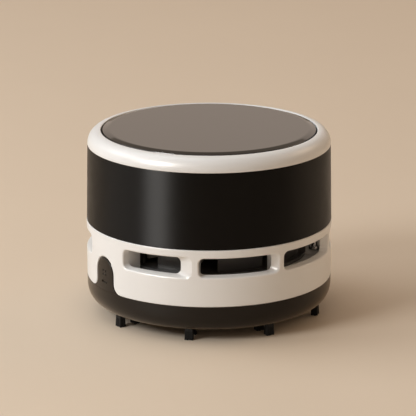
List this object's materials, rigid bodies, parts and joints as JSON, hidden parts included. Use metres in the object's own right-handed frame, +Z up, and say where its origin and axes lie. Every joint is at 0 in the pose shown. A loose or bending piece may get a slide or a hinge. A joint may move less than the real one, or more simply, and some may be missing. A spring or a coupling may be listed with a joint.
{
  "type": "desktop mini vacuum cleaner",
  "caption": "Round desktop mini vacuum cleaner: dust base on brush tufts, lift-off motor housing with exhaust slots, push plate on top.",
  "frame": {"origin": "centre of the circle that the brush tufts stand on, on the table", "axes": "+Z up through the push plate, -Y towards the release tab, +X to the right seen from the front"},
  "size_m": [0.086, 0.086, 0.0653],
  "materials": {
    "white_shell": "semi-gloss moulded shell",
    "band_black": "satin",
    "base_black": "satin",
    "tuft_black": "bristle, matt",
    "collar_grey": "matt",
    "seal_rubber": "matt",
    "filter_felt": "non-woven felt",
    "shroud_grey": "glossy moulded",
    "motor_steel": "plated",
    "nylon_natural": "matt",
    "bush_bronze": "sintered",
    "magnet_grey": "matt ferrite",
    "brass_contact": "stamped",
    "winding_copper": "enamelled copper",
    "screw_steel": "plated",
    "cell_wrap": "shrink wrap",
    "nickel_strip": "plated",
    "lead_red": "insulation",
    "lead_black": "insulation",
    "board_green": "solder mask",
    "chip_black": "moulded",
    "light_lens": "clear",
    "smoked_plate": "high gloss, smoked"
  },
  "bodies": {
    "dust_base": {"base_tray": "base_black", "outer_brush_tufts": "tuft_black", "inner_brush_tufts": "tuft_black", "filter_collar": "collar_grey", "base_seal": "seal_rubber"},
    "release_latch": {"release_tab": "base_black"},
    "filter_cassette": {"filter_frame": "collar_grey", "filter_media": "filter_felt", "filter_seal": "seal_rubber"},
    "motor_housing": {"lower_housing": "white_shell", "body_band": "band_black", "top_ring": "white_shell", "fan_shroud": "shroud_grey", "motor_mount": "shroud_grey", "motor_can": "motor_steel", "motor_end_cap": "nylon_natural", "motor_bushes": "bush_bronze", "motor_magnets": "magnet_grey", "motor_terminals": "brass_contact", "motor_brushes": "magnet_grey", "motor_sleeve": "seal_rubber", "motor_screws": "screw_steel", "battery_cell": "cell_wrap", "battery_contacts": "nickel_strip", "battery_leads": "lead_red", "motor_leads": "lead_black", "circuit_board": "board_green", "board_components": "chip_black", "board_screws": "screw_steel", "charge_port": "nickel_strip", "charge_led": "light_lens", "light_pipe": "light_lens", "button_deck": "shroud_grey", "deck_screws": "screw_steel", "housing_screws": "screw_steel", "power_switch": "chip_black"},
    "push_button": {"top_plate": "smoked_plate", "plate_pad": "seal_rubber", "button_carrier": "base_black", "return_springs": "screw_steel"},
    "switch_plunger": {"switch_plunger": "nylon_natural"},
    "rotor": {"motor_shaft": "screw_steel", "armature_core": "motor_steel", "armature_windings": "winding_copper", "commutator": "winding_copper", "impeller": "nylon_natural"}
  },
  "joints": [
    {"name": "housing_lift", "type": "slide", "parent": "dust_base", "child": "motor_housing", "axis": [0, 0, 1], "range_m": [0, 0.036]},
    {"name": "filter_lift", "type": "slide", "parent": "dust_base", "child": "filter_cassette", "axis": [0, 0, 1], "range_m": [0, 0.018]},
    {"name": "release_tab_press", "type": "hinge", "parent": "dust_base", "child": "release_latch", "pos_m": [0, -0.0392, 0.0129], "axis": [-1, 0, 0], "range_deg": [0, 4.5], "stiffness_Nm_per_rad": 0.4, "springref_deg": -1.15},
    {"name": "plate_press", "type": "slide", "parent": "motor_housing", "child": "push_button", "axis": [0, 0, -1], "range_m": [0, 0.0012], "stiffness_N_per_m": 900, "springref_m": -0.001, "deforming": ["return_springs"]},
    {"name": "plunger_press", "type": "slide", "parent": "motor_housing", "child": "switch_plunger", "axis": [0, 0, -1], "range_m": [0, 0.0012]},
    {"name": "rotor_spin", "type": "hinge", "parent": "motor_housing", "child": "rotor", "pos_m": [0, 0, 0.04], "axis": [0, 0, 1], "continuous": true}
  ],
  "couplings": [
    {"joint": "filter_lift", "follows": "housing_lift", "ratio": 0.5},
    {"joint": "plunger_press", "follows": "plate_press", "ratio": 1}
  ]
}
